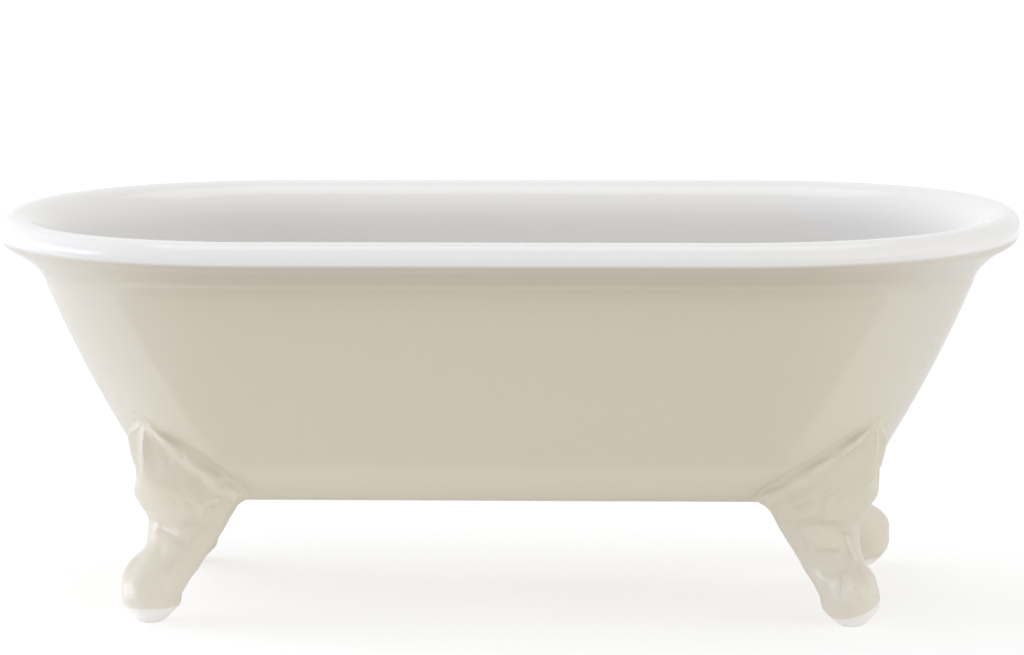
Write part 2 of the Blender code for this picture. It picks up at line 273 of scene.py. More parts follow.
class Nodes:
    """A node tree with short ways to add to it."""

    def __init__(self, tree):
        self.tree = tree

    def add(self, kind, values=(), **settings):
        node = self.tree.nodes.new(kind)
        for key, value in settings.items():
            setattr(node, key, value)
        for key, value in dict(values).items():
            if isinstance(value, bpy.types.NodeSocket):
                self.tree.links.new(value, node.inputs[key])
            else:
                node.inputs[key].default_value = value
        return node

    def math(self, operation, *values):
        return self.add("ShaderNodeMath", enumerate(values), operation=operation).outputs[0]

    def mix(self, share, one, other):
        """Mixes two colours, each a socket or a plain colour; 6, 7 and 2 are the node's colour sockets."""
        one, other = (c if isinstance(c, bpy.types.NodeSocket) else (*c, 1) for c in (one, other))
        return self.add("ShaderNodeMix", {0: share, 6: one, 7: other}, data_type="RGBA").outputs[2]

    def share(self, value, none, full):
        """How far the value has come from `none` to `full`, held between 0 and 1."""
        values = {"Value": value, "From Min": none, "From Max": full}
        return self.add("ShaderNodeMapRange", values).outputs[0]

    def place(self):
        """Where a point of the piece lies."""
        return self.add("ShaderNodeTexCoord").outputs["Object"]

    def along(self, vector, axis):
        return self.add("ShaderNodeSeparateXYZ", {0: vector}).outputs[axis]

    def attribute(self, name):
        return self.add("ShaderNodeAttribute", attribute_name=name).outputs["Fac"]

    def clouds(self, where, scale, detail):
        values = {"Vector": where, "Scale": scale, "Detail": detail}
        return self.add("ShaderNodeTexNoise", values).outputs["Fac"]

    def bump(self, height, strength, distance):
        values = {"Height": height, "Strength": strength, "Distance": distance}
        return self.add("ShaderNodeBump", values).outputs["Normal"]


# Bowl


def bowl_tree():
    """Lofts a bowl: the points of a section, each ruled round a superellipse with straight sides.

    The geometry that comes in is the row of stations: a point's place is (reach at the end, reach on the
    side, half the straight run), and its attributes end_height, side_height, white and pooled go with it;
    the last is painted shade, under the rim and deep in the basin."""
    tree = bpy.data.node_groups.new("bowl_from_sections", "GeometryNodeTree")
    face = tree.interface
    face.new_socket("Geometry", in_out="INPUT", socket_type="NodeSocketGeometry")
    for name, kind in (("Round Steps", "Int"), ("Side Steps", "Int"), ("Squareness", "Float")):
        face.new_socket(name, in_out="INPUT", socket_type=f"NodeSocket{kind}")
    face.new_socket("Glaze", in_out="INPUT", socket_type="NodeSocketMaterial")
    face.new_socket("Geometry", in_out="OUTPUT", socket_type="NodeSocketGeometry")
    n = Nodes(tree)
    given = n.add("NodeGroupInput").outputs
    stations = n.add("GeometryNodeAttributeDomainSize", {"Geometry": given["Geometry"]})
    rows = stations.outputs["Point Count"]
    steps = n.math("ADD", given["Round Steps"], given["Side Steps"])
    columns = n.math("MULTIPLY_ADD", steps, 4, 1)
    grid = n.add("GeometryNodeMeshGrid", {"Vertices X": columns, "Vertices Y": rows}).outputs["Mesh"]
    index = n.add("GeometryNodeInputIndex").outputs[0]
    # Half a point and half a column more, so that a whole share isn't rounded down
    column = n.math("FLOOR", n.math("DIVIDE", n.math("ADD", index, 0.5), rows))
    row = n.math("SUBTRACT", index, n.math("MULTIPLY", column, rows))
    # Quarter that the column is in, and steps from the nearest end of the bowl
    quarter_of = n.math("FLOOR", n.math("DIVIDE", n.math("ADD", column, 0.5), steps))
    quarter_of = n.math("MINIMUM", quarter_of, 3)
    ahead = n.math("SUBTRACT", column, n.math("MULTIPLY", quarter_of, steps))
    odd = n.math("MODULO", quarter_of, 2)
    back = n.math("SUBTRACT", steps, ahead)
    step = n.math("ADD", ahead, n.math("MULTIPLY", odd, n.math("SUBTRACT", back, ahead)))
    turn = n.math("MINIMUM", n.math("DIVIDE", step, given["Round Steps"]), 1)
    turn = n.math("MULTIPLY", turn, math.pi / 2)
    beyond = n.math("MAXIMUM", n.math("SUBTRACT", step, given["Round Steps"]), 0)
    along = n.math("SUBTRACT", 1, n.math("DIVIDE", beyond, given["Side Steps"]))
    power = n.math("DIVIDE", 2, given["Squareness"])
    cos = n.math("MAXIMUM", n.math("COSINE", turn), 0)
    to_end = n.math("POWER", cos, power)
    to_side = n.math("POWER", n.math("SINE", turn), power)
    # Quarters 1 and 2 are the left ones, 2 and 3 the near ones
    left = n.math("COMPARE", quarter_of, 1.5, 0.6)
    near = n.math("COMPARE", quarter_of, 2.5, 0.6)
    right, far = (n.math("MULTIPLY_ADD", side, -2, 1) for side in (left, near))

    def station(name, kind="FLOAT"):
        if name == "position":
            field = n.add("GeometryNodeInputPosition").outputs[0]
        else:
            field = n.add("GeometryNodeInputNamedAttribute", {"Name": name}, data_type=kind).outputs[0]
        values = {"Geometry": given["Geometry"], "Value": field, "Index": row}
        return n.add("GeometryNodeSampleIndex", values, data_type=kind).outputs["Value"]

    reach = n.add("ShaderNodeSeparateXYZ", {0: station("position", "FLOAT_VECTOR")}).outputs
    past = n.math("MULTIPLY", n.math("SUBTRACT", reach["X"], reach["Z"]), to_end)
    x = n.math("MULTIPLY", n.math("MULTIPLY_ADD", reach["Z"], along, past), right)
    y = n.math("MULTIPLY", n.math("MULTIPLY", reach["Y"], to_side), far)
    side_height = station("side_height")
    rise = n.math("SUBTRACT", station("end_height"), side_height)
    z = n.math("MULTIPLY_ADD", rise, n.math("MULTIPLY", cos, cos), side_height)
    place = n.add("ShaderNodeCombineXYZ", {"X": x, "Y": y, "Z": z}).outputs[0]
    made = n.add("GeometryNodeSetPosition", {"Geometry": grid, "Position": place}).outputs[0]
    for name in ("white", "painted_shade"):
        values = {"Geometry": made, "Name": name, "Value": station(name)}
        made = n.add("GeometryNodeStoreNamedAttribute", values, data_type="FLOAT").outputs[0]
    made = n.add("GeometryNodeMergeByDistance", {"Geometry": made, "Distance": 1e-6}).outputs[0]
    made = n.add("GeometryNodeRealizeInstances", {"Geometry": made}).outputs[0]
    made = n.add("GeometryNodeSetMaterial", {"Geometry": made, "Material": given["Glaze"]}).outputs[0]
    n.add("NodeGroupOutput", {"Geometry": made})
    return tree


def bowl(material):
    """The bath-shaped bowl in one shell, from the middle of its underside over the rim to its floor."""
    ends = outer_section(LENGTH / 2, NECK_END, BASE_END, RIM_DROP)
    sides = outer_section(WIDTH / 2, NECK_SIDE, BASE_SIDE, SIDE_RIM_DROP)
    crest = len(ends) - 1
    ends += inner_section(LENGTH / 2, NECK_END, BASE_END)
    sides += inner_section(WIDTH / 2, NECK_SIDE, BASE_SIDE)
    ends, sides = np.array(ends), np.array(sides)
    height = (ends[:, 1] + sides[:, 1]) / 2
    below = HEIGHT - height
    inner = np.arange(len(ends)) > crest
    straight = straight_at(height) * np.clip(ends[:, 0] / (BASE_END - BASE_ROUND), 0, 1)
    white = np.where(inner, 1.0, smooth(*RIM_WHITE, below))
    # Painted shade: a band under the rim on the long sides, and the basin deeper inside
    under_rim = smooth(*NECK_SHADE_BAND, HEIGHT - sides[:, 1])
    painted_shade = np.where(inner, smooth(*BASIN_SHADE, below), under_rim * (1 - white))
    mesh = bpy.data.meshes.new("bowl_stations")
    mesh.from_pydata(np.column_stack([ends[:, 0], sides[:, 0], straight]).tolist(), [], [])
    keep_values(mesh, "end_height", ends[:, 1])
    keep_values(mesh, "side_height", sides[:, 1])
    keep_values(mesh, "white", white)
    keep_values(mesh, "painted_shade", painted_shade)
    source = new_object("bowl_stations", mesh)
    tree = bowl_tree()
    loft = source.modifiers.new("loft", "NODES")
    loft.node_group = tree
    for name, value in (
        ("Round Steps", 60),
        ("Side Steps", 10),
        ("Squareness", END_POWER),
        ("Glaze", material),
    ):
        loft[tree.interface.items_tree[name].identifier] = value
    bpy.context.view_layer.update()
    graph = bpy.context.evaluated_depsgraph_get()
    made = bpy.data.meshes.new_from_object(source.evaluated_get(graph))
    bpy.data.objects.remove(source)
    turn_outwards(made)
    return finish_piece(new_object("glazed_bowl", made), "white_glaze", "tub_body")


# Feet

CORNER_STEPS = 160          # of the outline that the feet follow, round a quarter of it
SIDE_STEPS = 20             # and along half of a long side


def outside_rows():
    """The bowl's outside from its underside up to its neck: x, y and z of each station, in columns that run
    from the middle of the +Y side round the +X end to the middle of the -Y side."""
    sections = (
        outer_section(LENGTH / 2, NECK_END, BASE_END, RIM_DROP),
        outer_section(WIDTH / 2, NECK_SIDE, BASE_SIDE, SIDE_RIM_DROP),
    )
    turns = np.linspace(0, math.pi / 2, CORNER_STEPS + 1)
    share = np.append(np.cos(turns) ** 2, np.zeros(SIDE_STEPS))
    first = len(UNDERSIDE_SHARES) - 1
    rows = []
    for end, side in list(zip(*sections))[first:first + 1 + BASE_STEPS + FLANK_STEPS]:
        middle = straight_at((end[1] + side[1]) / 2)
        x, y = quarter(end[0], side[0], middle, CORNER_STEPS, SIDE_STEPS)
        z = side[1] + (end[1] - side[1]) * share
        rows.append([np.append(x[::-1], x[1:]), np.append(y[::-1], -y[1:]), np.append(z[::-1], z[1:])])
    return np.array(rows).transpose(1, 0, 2)


OUTSIDE = outside_rows()


def corner_run(z):
    """The bowl's corner at height z. Four rows against each other: its flank, carried down straight past the
    rounded base, the same places on its skin, the outward normals, and distances along it from the point that
    faces SHIELD_ANGLE."""
    x, y, heights = OUTSIDE
    above = np.clip((heights < z).sum(axis=0), 1, len(heights) - 1)
    column = np.arange(heights.shape[1])
    low, high = heights[above - 1, column], heights[above, column]
    f = np.clip((z - low) / (high - low), 0, 1)
    skin = np.stack([a[above - 1, column] * (1 - f) + a[above, column] * f for a in (x, y)], axis=1)
    flank = skin
    if z < UNDERSIDE + BASE_ROUND:
        rise = (z - UNDERSIDE) / (NECK_HEIGHT - UNDERSIDE)
        half_length = BASE_END + (NECK_END - BASE_END) * rise
        half_width = BASE_SIDE + (NECK_SIDE - BASE_SIDE) * rise
        x, y = quarter(half_length, half_width, straight_at(z), CORNER_STEPS, SIDE_STEPS)
        flank = np.stack([np.append(x[::-1], x[1:]), np.append(y[::-1], -y[1:])], axis=1)
    ways = np.gradient(flank, axis=0)
    ways /= np.linalg.norm(ways, axis=1)[:, None]
    normals = np.stack([-ways[:, 1], ways[:, 0]], axis=1)
    run = np.append(0, np.cumsum(np.linalg.norm(np.diff(flank, axis=0), axis=1)))
    facing = np.degrees(np.arctan2(normals[:, 1], normals[:, 0]))
    middle = np.interp(SHIELD_ANGLE, facing[::-1], run[::-1])
    return flank, skin, normals, run - middle


def pick(places, run, values):
    """The values, which are listed against `run`, at these places along it."""
    return np.stack([np.interp(places, run, values[:, k]) for k in (0, 1)], axis=1)


LEG_OUT = np.array([math.cos(math.radians(FOOT_ANGLE)), math.sin(math.radians(FOOT_ANGLE))])
LEG_ACROSS = np.array([LEG_OUT[1], -LEG_OUT[0]])
corner_points, _, corner_normals, corner_places = corner_run(UNDERSIDE)
BALL_MIDDLE = pick([0], corner_places, corner_points)[0] + LEG_OUT * FOOT_STEP - LEG_ACROSS * FOOT_SHIFT

# Leg above the ball: share of the way from the ball's middle up to the bowl's underside, how far the leg's
# middle lies behind the ball's, half depth, and half breadth towards the long side and towards the end
LEG = (
    (0.00, 0.0004, BALL_RADIUS + 0.0003, BALL_RADIUS, BALL_RADIUS),
    (0.16, 0.0019, 0.0058, 0.0049, 0.0049),
    (0.24, 0.0030, 0.0060, 0.0051, 0.0051),
    (0.33, 0.0045, 0.0059, 0.0050, 0.0050),
    (0.47, 0.0062, 0.0055, 0.0055, 0.0055),
    (0.61, 0.0074, 0.0053, 0.0065, 0.0065),
    (0.78, 0.0084, 0.0053, 0.0077, 0.0081),
    (0.88, 0.0085, 0.0058, 0.0084, 0.0094),
    (1.00, 0.0088, 0.0066, 0.0094, 0.0120),
    (1.18, 0.0094, 0.0073, 0.0110, 0.0142),
    (1.32, 0.0100, 0.0074, 0.0122, 0.0150),
)
FRONT_TURN = 105.0          # degrees from the front of the leg to where its back begins
HALF_COLUMNS = 80           # across one half of the front
BEAD_COLUMNS = 30           # of them over the bead and its fillet
BACK_COLUMNS = 22
BALL_LEVELS = 36
LEG_LEVELS = 75
SHIELD_LEVELS = 95
# Across the shield's edge, level with the table: millimetres in from the top of the bead, and the share that
# the surface has there of the bead's height
BEAD = (
    (-4.4, 0.0), (-3.8, 0.01), (-3.2, 0.05), (-2.6, 0.16), (-2.0, 0.36), (-1.4, 0.62), (-0.85, 0.84),
    (-0.4, 0.96), (0.1, 1.0), (0.7, 0.99), (1.4, 0.94), (2.2, 0.88), (3.0, 0.86),
)
BEAD_SMALLEST = 0.45        # its scale where the shield is narrow
BEAD_FULL = 0.0059          # half breadth of the shield from which it has its full size
BEAD_INSIDE = 0.9           # most of the half breadth that its inner side takes
LONE_BEAD = 0.0044          # half breadth up to which both beads run together into one hump
FILLET_SHORTER = 0.3        # share by which the bead's fillet is shorter at the shield's lower corners
FILLET_FROM = 0.6           # and of the way down from the tip where that begins
ON_SKIN = 0.2               # share of the fillet's reach from the bead where the bowl's skin is left
CREASE_POWER = 1.5          # how a panel rises to a sharp ridge
CREST_POWER = 0.8           # how soon the middle of the shield rises, below its tip
CREASE_SHARES = (0.35, 0.9)     # of the way down from the tip, over which the ridge loses its edge
BROADER = (0.0085, 0.0165)  # heights over which a mould's leg_more comes in
FLANK_SLOPE = 0.3           # the flank's run outwards per rise, at the corner
# Two moulds: how sharp the shield's ridge is, tilt of the line where the glaze ends, and how much broader the
# leg is towards the long side. Its relief is strokes, each with its height, its width and its places
# (along the surface from the ridge, height above the table), all in millimetres, minus towards the long side.
# Three lines go by heights above the table and places along the bowl's corner: the bead on the long side, the
# ridge down the middle, and the bead on the end
MOULDS = {
    "first": {
        "crease": 1.0,
        "dry_tilt": 0.0,
        "leg_more": 0.0006,
        "relief": (
            (0.20, 0.8, (-3.8, 30.4), (-6.7, 28.6)), (0.22, 0.8, (-9.0, 27.2), (-11.0, 25.8), (-13.5, 24.4)),
            (0.22, 0.7, (-15.0, 21.7), (-14.7, 19.7)),
            (-0.20, 0.6, (-7.9, 28.0)), (-0.20, 0.6, (-14.6, 23.2)),
            (0.32, 0.55, (-7.8, 18.1), (-8.9, 19.5), (-10.9, 20.5), (-12.4, 20.8)),
            (0.16, 0.5, (-8.2, 17.5), (-8.9, 17.5)), (-0.24, 0.5, (-10.4, 19.3)), (0.16, 0.9, (-4.6, 17.7)),
            (0.14, 0.7, (-7.6, 23.2), (-8.5, 21.9)), (-0.20, 0.6, (-10.3, 24.6), (-10.9, 23.9)),
            (-0.15, 0.7, (-4.6, 20.3)), (-0.16, 0.7, (-7.1, 20.0)), (-0.12, 0.6, (-4.8, 26.8)),
            (-0.13, 1.1, (-1.4, 29.5), (-1.8, 27.5), (-2.9, 25.1)),
            (-0.24, 0.7, (0.4, 15.1), (-1.8, 14.7), (-4.9, 13.4)), (-0.26, 0.8, (-5.5, 16.3), (-9.5, 15.9)),
            (0.20, 1.1, (-3.0, 11.8), (-4.0, 12.4), (-5.6, 11.6)), (-0.14, 0.9, (-1.4, 11.8), (-2.5, 11.0)),
            (0.10, 0.8, (-5.8, 14.3), (-6.6, 12.2)), (-0.40, 1.1, (3.6, 13.2), (4.0, 12.0)),
            (0.24, 0.6, (-5.0, 8.6), (-6.5, 6.8), (-6.5, 5.4)),
            (0.18, 0.8, (3.9, 9.0), (3.7, 7.4), (1.9, 5.8), (0.4, 4.1)), (0.80, 1.9, (4.4, 9.2), (4.8, 7.2)),
            (-0.24, 1.6, (-2.8, 7.2)), (0.12, 0.6, (-5.7, 4.0)),
        ),
        "side": ((17, -11.2), (19.5, -11.6), (21.8, -11.4), (24.5, -10.2), (26.5, -8.4), (29.3, -6.5),
                 (31.8, -3.4), (33.0, -1.9)),
        "ridge": ((17, 2.4), (20, 2.0), (22.9, 1.1), (24.7, 0.4), (28.4, -0.6), (31, -1.6), (33.0, -1.7)),
        "end": ((17, 14.0), (20.5, 13.6), (24, 10.6), (27, 7.2), (31, 2.2), (33.0, -1.5)),
    },
    "second": {
        "crease": 0.25,
        "dry_tilt": 0.45,
        "leg_more": 0.0,
        "relief": (
            (0.26, 0.9, (-14.3, 20.8), (-15.1, 23.2)), (0.30, 0.8, (-12.3, 25.4), (-10.7, 26.5)),
            (0.30, 0.8, (-7.1, 28.4), (-5.1, 29.6)), (0.26, 0.7, (-4.0, 30.6), (-1.2, 31.8)),
            (0.24, 0.75, (-9.8, 20.6), (-10.0, 21.3), (-8.7, 21.1), (-7.1, 20.1), (-5.8, 18.5)),
            (0.16, 0.5, (-7.5, 22.0), (-6.9, 22.3)), (0.18, 0.55, (-3.1, 17.3), (-1.3, 17.3)),
            (0.10, 0.5, (-5.9, 21.2), (-2.7, 18.3)), (0.10, 0.8, (-1.8, 20.5), (1.8, 18.3)),
            (-0.20, 0.7, (-9.3, 19.8)), (-0.16, 0.6, (-10.1, 18.5), (-8.1, 18.1)), (-0.16, 0.5, (-7.2, 21.2)),
            (-0.12, 0.8, (-3.7, 21.2)), (-0.08, 0.6, (-3.4, 22.5)), (-0.08, 0.8, (-4.5, 24.7)),
            (-0.08, 0.8, (-2.7, 28.4)), (-0.16, 0.6, (-0.8, 29.2), (0.1, 26.7)), (-0.12, 0.8, (-8.2, 26.0)),
            (-0.30, 0.8, (-10.2, 16.5), (-7.1, 16.7), (-3.9, 16.7), (0.1, 15.7), (2.0, 14.9)),
            (0.15, 0.6, (-6.5, 15.3), (-5.9, 14.3)), (0.35, 0.5, (0.9, 14.2), (0.8, 11.2)),
            (0.30, 0.35, (-5.4, 12.0), (-3.5, 12.2), (-1.9, 11.8)), (-0.12, 0.5, (-5.1, 12.8), (-1.4, 12.8)),
            (0.35, 1.6, (-7.2, 11.5)), (0.20, 0.6, (-4.5, 8.4), (-5.5, 6.4), (-5.6, 4.8)),
            (0.26, 0.7, (-2.5, 8.6), (-3.7, 6.8), (-4.6, 5.0)), (-0.14, 0.22, (-3.7, 8.4), (-4.7, 6.0)),
            (0.22, 0.8, (0.8, 8.6), (0.8, 5.0)), (-0.28, 1.1, (-2.1, 5.0)), (-0.16, 0.6, (-2.4, 6.8)),
        ),
        "side": ((17, -11.0), (20.6, -10.7), (23.2, -8.9), (25.5, -6.8), (27.9, -3.2), (30.0, -0.6),
                 (31.9, 2.3), (32.7, 3.2)),
        "ridge": ((17, 4.6), (20, 4.6), (24, 4.4), (28, 3.9), (32.7, 3.4)),
        "end": ((17, 14.6), (20.5, 14.3), (24, 12.2), (27.7, 9.3), (29.6, 7.1), (31.4, 5.0), (32.7, 3.6)),
    },
}


# A stroke that lies further than ECHO_FROM from the ridge, towards the long side, comes back on the end's
# side, at this share of its height and this many times its width, and above the knee closer to the ridge
ECHO_FROM = 2.0
ECHO_HEIGHT = 0.25
ECHO_WIDTH = 1.6
ECHO_KNEE = 15.0
ECHO_CLOSER = 0.8
# Unevenness of the hand, in millimetres: size and height of its lumps
UNEVEN = ((2.6, 0.05), (1.1, 0.02))
UNEVEN_FROM = 0.0012        # height above which it has its full strength; the sole is flat
BEND_PASSES = ((0, 10), (1, 6))     # times that the bend is smoothed, up the foot and round it


def line_at(mould, name, z):
    heights, places = zip(*MOULDS[mould][name])
    return float(spline(z * 1000, heights, places)) / 1000


def leg_at(z):
    """How far the leg's middle lies behind the ball's, half depth and both half breadths, at height z."""
    share = (z - SOLE_LIFT) / (UNDERSIDE - SOLE_LIFT)
    shares, *columns = zip(*LEG)
    behind, *halves = (float(spline(share, shares, column)) for column in columns)
    if z < SOLE_LIFT:
        ball = math.sqrt(max(BALL_RADIUS**2 - (z - SOLE_LIFT) ** 2, 0)) / BALL_RADIUS
        if z < WORN_HEIGHT:
            full = math.sqrt(BALL_RADIUS**2 - (WORN_HEIGHT - SOLE_LIFT) ** 2)
            ball = (SOLE_RADIUS + (full - SOLE_RADIUS) * (z / WORN_HEIGHT) ** WORN_POWER) / BALL_RADIUS
        behind, halves = behind * ball**2, [half * ball for half in halves]
    return behind, *halves


def shield_half(width, crest, rise, crease):
    """One half of the shield at one level, from its outermost fillet to the ridge.

    Three rows: distances in from the bead, stand-offs from the flank, and how far each point has left the
    bowl's skin for the flank's straight line."""
    scale = BEAD_SMALLEST + (1 - BEAD_SMALLEST) * float(smooth(0, BEAD_FULL, width))
    reach = -BEAD[0][0] / 1000 * scale * (1 - FILLET_SHORTER * smooth(FILLET_FROM, 1, rise))
    flat = BEAD_INSIDE * width
    inner = flat * (1 - math.exp(-BEAD[-1][0] / 1000 * scale / flat))
    depth = np.append(np.linspace(-reach, 0, BEAD_COLUMNS * 2 // 3, endpoint=False),
                      np.linspace(0, inner, BEAD_COLUMNS // 3, endpoint=False))
    share = np.linspace(0, 1, HALF_COLUMNS + 1 - len(depth))
    depth = np.append(depth, inner + (width - inner) * share)
    places, shares = zip(*BEAD)
    at = np.where(depth < 0, depth / reach * -BEAD[0][0], np.minimum(depth, inner) / scale * 1000)
    lifts = BEAD_HEIGHT * spline(at, places, shares)
    base = lifts[-1]
    panel = np.clip((depth - inner) / (width - inner), 0, 1)
    shape = crease * panel**CREASE_POWER + (1 - crease) * smooth(0, 1, panel)
    lifts = np.where(depth > inner, base + (crest - base) * shape, lifts)
    hump = BEAD_HEIGHT * smooth(-reach, width, depth)
    lone = 1 - smooth(0, 1, width / LONE_BEAD)
    return depth, lifts + (hump - lifts) * lone, smooth(-reach, -ON_SKIN * reach, depth)


def skin_height(points):
    """Height of the bowl's underside and flank over these points on the plan."""
    away = points[:, None] - corner_points
    near = np.argmin((away**2).sum(axis=2), axis=1)
    inward = -(away[np.arange(len(points)), near] * corner_normals[near]).sum(axis=1)
    t = np.linspace(1, 0, 30)
    curve = BASE_ROUND * (1 - t) ** 2 - FLANK_SLOPE * BASE_ROUND * t**2
    above = np.maximum(curve[0] - inward, 0) / FLANK_SLOPE
    return UNDERSIDE + BASE_ROUND * np.interp(inward, curve, t) ** 2 + above


def foot_ring(z, mould):
    """One level of the foot at the bowl's +X, +Y corner: round its front and back inside the bowl's wall."""
    top = MOULDS[mould]["side"][-1][0] / 1000
    rise = float(np.clip((top - z) / (top - SHIELD_FOOT), 0, 1))
    crest = BEAD_HEIGHT + (SHIELD_CREST - BEAD_HEIGHT) * smooth(0, 1, rise**CREST_POWER)
    fade = float(smooth(-TIP_FADE[1], TIP_FADE[0], top - z))
    side, ridge, end = (line_at(mould, name, z) for name in ("side", "ridge", "end"))
    flank, skin, normals, run = corner_run(z)
    crease = MOULDS[mould]["crease"] * (1 - smooth(*CREASE_SHARES, rise))
    side_depth, side_lifts, side_free = shield_half(max(ridge - side, NARROWEST), crest, rise, crease)
    end_depth, end_lifts, end_free = shield_half(max(end - ridge, NARROWEST), crest, rise, crease)
    places = np.append(ridge - side_depth[-1] + side_depth, (ridge + end_depth[-1] - end_depth)[-2::-1])
    lifts = np.append(side_lifts, end_lifts[-2::-1])
    free = np.append(side_free, end_free[-2::-1])
    shares = (places - ridge) / np.where(places < ridge, ridge - places[0], places[-1] - ridge)
    back = np.linspace(0, 1, BACK_COLUMNS + 2)[1:-1]
    places = np.append(places, places[-1] + (places[0] - places[-1]) * back)
    lifts = np.append(lifts * fade, -SHIELD_ROOT * np.sin(np.pi * back) ** ROOT_POWER) - EDGE_SUNK
    free = np.append(free, np.zeros(len(back)))
    ground = pick(places, run, skin) * (1 - free[:, None]) + pick(places, run, flank) * free[:, None]
    shield = ground + pick(places, run, normals) * lifts[:, None]

    behind, depth, side_breadth, end_breadth = leg_at(z)
    side_breadth += MOULDS[mould]["leg_more"] * smooth(*BROADER, z)
    even = 1 - smooth(SOLE_LIFT, UNDERSIDE, z)
    turn = FRONT_TURN * (shares + (np.linspace(-1, 1, len(shares)) - shares) * even)
    turn = np.radians(np.append(turn, FRONT_TURN + (360 - 2 * FRONT_TURN) * back))
    breadth = np.where(np.sin(turn) < 0, side_breadth, end_breadth)
    leg = BALL_MIDDLE - LEG_OUT * behind
    leg = leg + np.outer(np.cos(turn) * depth, LEG_OUT) + np.outer(np.sin(turn) * breadth, LEG_ACROSS)
    gap = np.clip(1 - (skin_height(leg) - z) / LEG_FILLET, 0, 1)
    flare = LEG_FILLET * (1 - np.sqrt(1 - gap**2))
    outward = np.outer(np.cos(turn) * side_breadth, LEG_OUT) + np.outer(np.sin(turn) * depth, LEG_ACROSS)
    leg = leg + outward / np.linalg.norm(outward, axis=1)[:, None] * flare[:, None]
    part = smooth(UNDERSIDE - KNEE_DROP, UNDERSIDE + KNEE_RISE, z)
    flat = leg * (1 - part) + shield * part
    return np.column_stack([flat, np.full(len(flat), z)])


def foot_levels(mould):
    sole = math.asin(SOLE_RADIUS / BALL_RADIUS)
    ball = [SOLE_LIFT - BALL_RADIUS * math.cos(a) for a in np.linspace(sole, math.pi / 2, BALL_LEVELS)]
    leg = np.linspace(SOLE_LIFT, UNDERSIDE, LEG_LEVELS + 1)[1:]
    top = MOULDS[mould]["side"][-1][0] / 1000
    shield = np.linspace(UNDERSIDE, top + TIP_FADE[1], SHIELD_LEVELS + 1)[1:]
    return [*ball, *leg, *shield]


def surface_normals(grid):
    """Outward unit normals of the foot's grid; its columns run round and close."""
    wrapped = np.concatenate([grid[:, -1:], grid, grid[:, :1]], axis=1)
    normals = np.cross(np.gradient(wrapped, axis=1), np.gradient(wrapped, axis=0))[:, 1:-1]
    normals /= np.linalg.norm(normals, axis=2)[..., None] + 1e-12
    outward = grid - grid.mean(axis=1, keepdims=True)
    return normals * np.sign((normals * outward).sum())


def share_near(places, line, width):
    """1 on this line, falling off smoothly over the width to both sides."""
    line = [np.array(p, float) for p in line]
    nearest = np.full(places.shape[:2], np.inf)
    for a, b in zip(line, line[1:] or line):
        way = b - a
        along = np.clip(((places - a) @ way) / max(way @ way, 1e-12), 0, 1)
        nearest = np.minimum(nearest, ((places - a - along[..., None] * way) ** 2).sum(axis=2))
    return np.exp(-nearest / width**2)


def modelled(grid, mould, seed):
    """The foot's grid with its relief pressed in and a little unevenness of the hand."""
    front = 2 * HALF_COLUMNS + 1
    steps = np.linalg.norm(np.diff(grid[:, :front], axis=1), axis=2)
    across = np.concatenate([np.zeros((len(grid), 1)), np.cumsum(steps, axis=1)], axis=1)
    across = (across - across[:, [HALF_COLUMNS]]) * 1000
    places = np.stack([across, grid[:, :front, 2] * 1000], axis=2)
    lift = np.zeros(grid.shape[:2])
    for height, width, *line in MOULDS[mould]["relief"]:
        lift[:, :front] += height * share_near(places, line, width)
        if max(x for x, _ in line) < -ECHO_FROM:
            echo = [(-x * (ECHO_CLOSER if z > ECHO_KNEE else 1), z) for x, z in line]
            lift[:, :front] += ECHO_HEIGHT * height * share_near(places, echo, ECHO_WIDTH * width)
    flat = grid.reshape(-1, 3) * 1000
    for size, height in UNEVEN:
        uneven = [noise.noise(Vector(p) / size + seed) * height for p in flat]
        lift += np.reshape(uneven, lift.shape)
    lift *= smooth(0, UNEVEN_FROM, grid[..., 2]) / 1000
    return grid + surface_normals(grid) * lift[..., None]


def bend(grid):
    """How much the surface bends at each point of the foot's grid, in radians per metre: plus on ridges."""
    normals = surface_normals(grid)
    total = np.zeros(grid.shape[:2])
    for axis in (0, 1):
        before = np.roll(grid, 1, axis=axis) - grid
        after = np.roll(grid, -1, axis=axis) - grid
        back, ahead = (np.linalg.norm(v, axis=2) + 1e-9 for v in (before, after))
        curve = (before * normals).sum(axis=2) / back + (after * normals).sum(axis=2) / ahead
        total -= 2 * curve / (back + ahead)
    total[[0, -1]] = 0
    for axis, times in BEND_PASSES:
        for _ in range(times):
            total = (np.roll(total, 1, axis=axis) + 2 * total + np.roll(total, -1, axis=axis)) / 4
    return total


def foot(name, sign_x, sign_y, node, mould, glaze_end, material):
    grid = np.array([foot_ring(max(z, 0.0), mould) for z in foot_levels(mould)])
    grid = modelled(grid, mould, Vector((3 * sign_x, 5 * sign_y, 0)))
    bent = bend(grid)
    tilt = MOULDS[mould]["dry_tilt"]
    dry = glaze_end + tilt * (grid[..., :2] - BALL_MIDDLE) @ LEG_ACROSS - grid[..., 2]
    grid = grid * (sign_x, sign_y, 1)
    rows, columns = grid.shape[:2]
    index = np.arange(rows * columns).reshape(rows, columns)
    after = np.roll(index, -1, axis=1)
    quads = np.stack([index[:-1], after[:-1], after[1:], index[1:]], axis=2).reshape(-1, 4).tolist()
    mesh = bpy.data.meshes.new(name)
    mesh.from_pydata(grid.reshape(-1, 3).tolist(), [], quads + [index[0].tolist(), index[-1].tolist()])
    keep_values(mesh, "bend", bent)
    keep_values(mesh, "dry", dry * 1000)
    turn_outwards(mesh)
    mesh.materials.append(material)
    return finish_piece(new_object(name, mesh), "foot_glaze", node)


# Finishes


def principled(name, **values):
    """A material with these plain values on its shader; returns it with its nodes and its shader."""
    material = bpy.data.materials.new(name)
    material.use_nodes = True
    n = Nodes(material.node_tree)
    shader = material.node_tree.nodes["Principled BSDF"]
    for key, value in values.items():
        shader.inputs[key.replace("_", " ")].default_value = value
    return material, n, shader


